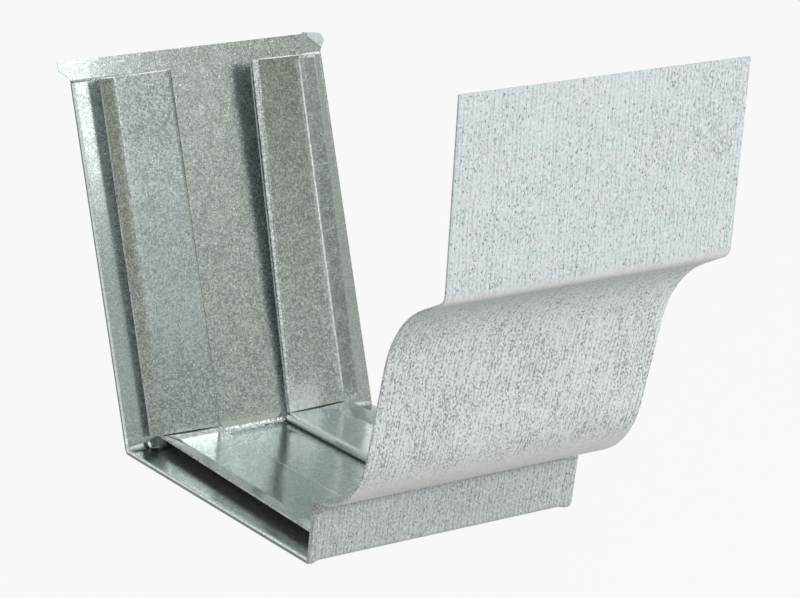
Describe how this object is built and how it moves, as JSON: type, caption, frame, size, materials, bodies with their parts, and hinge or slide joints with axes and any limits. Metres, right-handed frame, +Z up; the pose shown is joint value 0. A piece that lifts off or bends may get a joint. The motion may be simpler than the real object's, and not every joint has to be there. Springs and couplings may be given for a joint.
{
  "type": "gutter slip connector",
  "caption": "K-style ogee gutter slip connector bent from galvanized sheet, with hemmed sides and folded slip pockets along its back and floor that take the gutter ends.",
  "frame": {"origin": "centre of the flat underside; the rolled side hems reach 0.45 mm lower", "axes": "+X along the gutter run, +Y towards the back wall that stands against the fascia, +Z up; the moulded front faces -Y"},
  "size_m": [0.0752, 0.1795, 0.1155],
  "materials": {
    "galvanized_sheet": "hot-dip galvanized, spangled, matte grey outside and brighter inside"
  },
  "bodies": {
    "root": {"slip_connector": "galvanized_sheet"}
  },
  "joints": []
}
